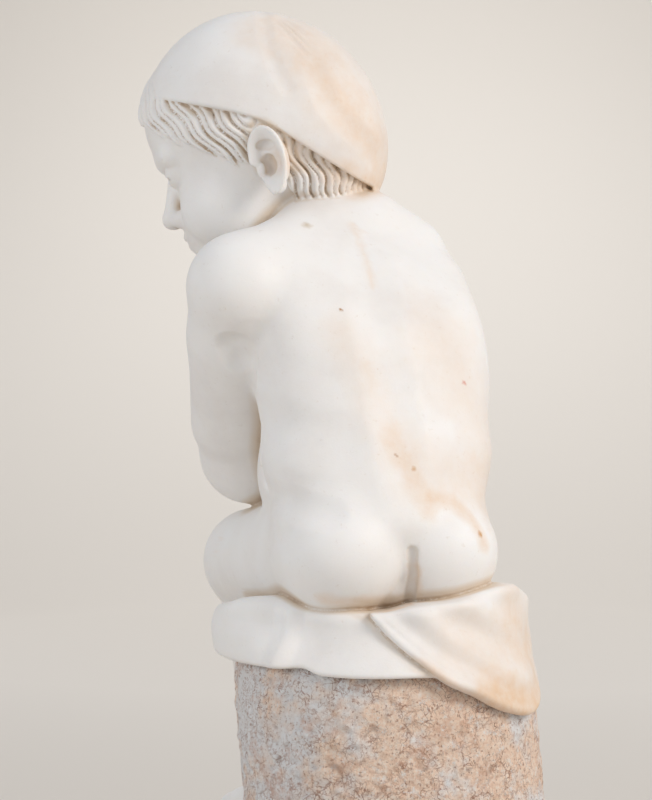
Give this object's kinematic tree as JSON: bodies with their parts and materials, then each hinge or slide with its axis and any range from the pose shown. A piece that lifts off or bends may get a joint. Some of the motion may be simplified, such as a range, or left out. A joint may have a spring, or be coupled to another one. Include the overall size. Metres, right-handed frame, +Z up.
{
  "type": "classical marble statue",
  "caption": "Carved marble figure of a seated child in a close cap, leaning forward with folded hands, on a cloth over a rough stone column with a low base.",
  "frame": {"origin": "on the floor under the column's axis, in the plane of the base's underside", "axes": "+Z up; the seated child faces -Y and its left side is +X"},
  "size_m": [0.2827, 0.3798, 0.7122],
  "materials": {
    "carved_marble": "smooth, softly polished and weathered, with ochre staining",
    "rough_marble": "rough pitched crystalline marble with reddish-brown dirt in the pits"
  },
  "bodies": {
    "root": {"seated_child": "carved_marble", "rough_column": "rough_marble"}
  },
  "joints": []
}
